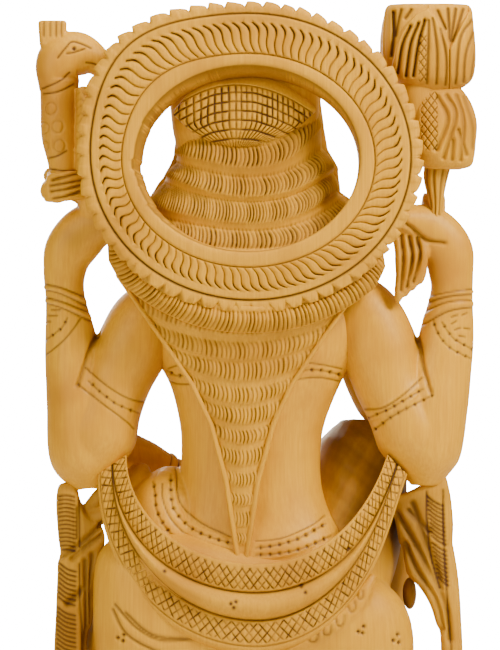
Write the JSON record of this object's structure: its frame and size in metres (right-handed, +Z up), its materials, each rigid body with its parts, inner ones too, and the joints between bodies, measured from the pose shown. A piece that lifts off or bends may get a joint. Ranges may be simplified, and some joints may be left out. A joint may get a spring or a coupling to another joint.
{
  "type": "carved goddess statue",
  "caption": "Carved wooden statue of a seated goddess with raised back hands holding a bird and a lotus, a fluted ring halo, tiered hair down the back and a low lotus base.",
  "frame": {"origin": "middle of the base's underside", "axes": "+Z up, the figure faces -Y, +X to the figure's left, where the bird is"},
  "size_m": [0.31, 0.156, 0.6047],
  "materials": {
    "carved_wood": "satin wax over knife-cut pale wood"
  },
  "bodies": {
    "root": {"statue": "carved_wood"}
  },
  "joints": []
}
